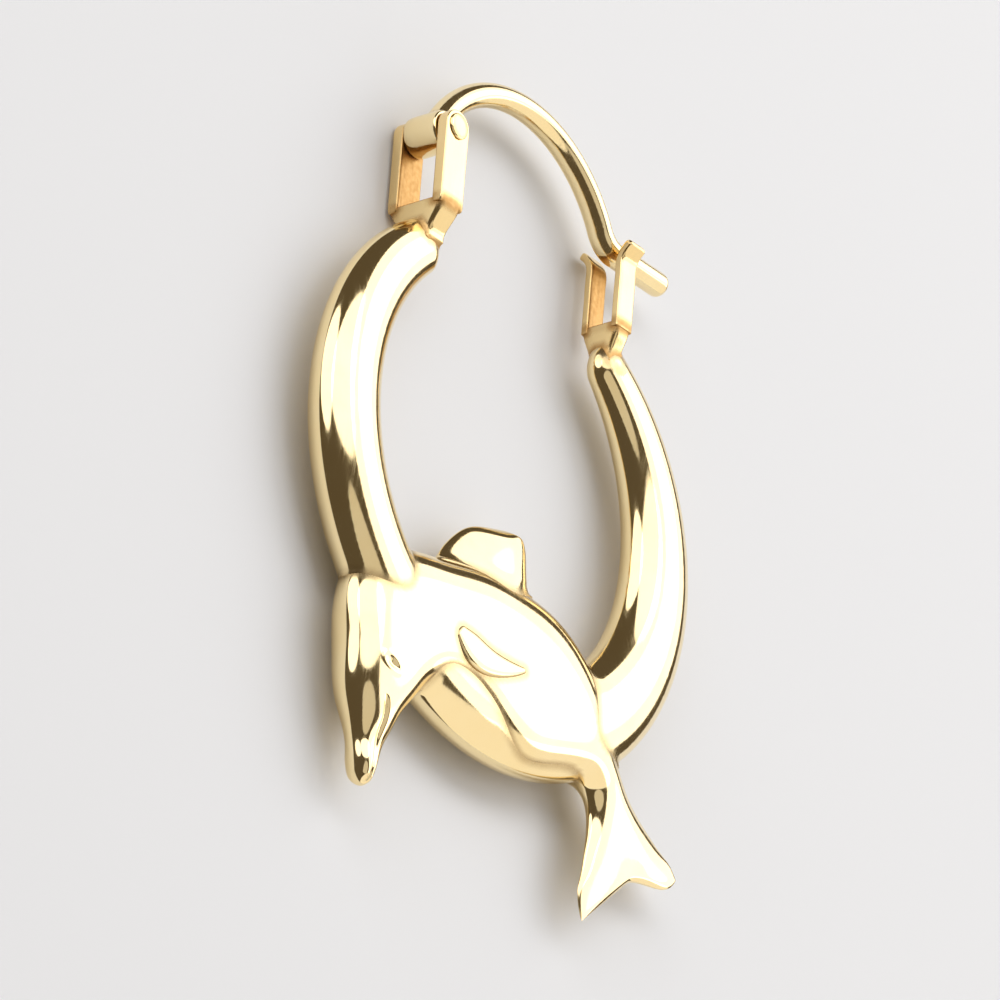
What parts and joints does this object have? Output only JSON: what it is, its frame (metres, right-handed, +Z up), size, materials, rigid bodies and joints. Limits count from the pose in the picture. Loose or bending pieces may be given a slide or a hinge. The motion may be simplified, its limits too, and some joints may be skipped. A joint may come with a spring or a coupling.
{
  "type": "dolphin creole hoop earring",
  "caption": "Creole hoop earring with a leaping dolphin across its tapering tube and a hinged ear wire that closes into a forked catch.",
  "frame": {"origin": "under the middle of the earring's box, on the surface that it lies on", "axes": "+Z up through the hoop, +Y from the dolphin to the ear wire, +X from the hinge to the catch"},
  "size_m": [0.0206, 0.0282, 0.0025],
  "materials": {
    "gold": "polished yellow gold",
    "wire_gold": "polished yellow gold, drawn wire"
  },
  "bodies": {
    "hoop": {"hoop": "gold", "hinge_pin": "wire_gold"},
    "ear_wire": {"ear_wire": "wire_gold"}
  },
  "joints": [
    {"name": "ear_wire_hinge", "type": "hinge", "parent": "hoop", "child": "ear_wire", "pos_m": [-0.00543, 0.01052, 0.00125], "axis": [0, 0, 1], "range_deg": [0, 90]}
  ]
}
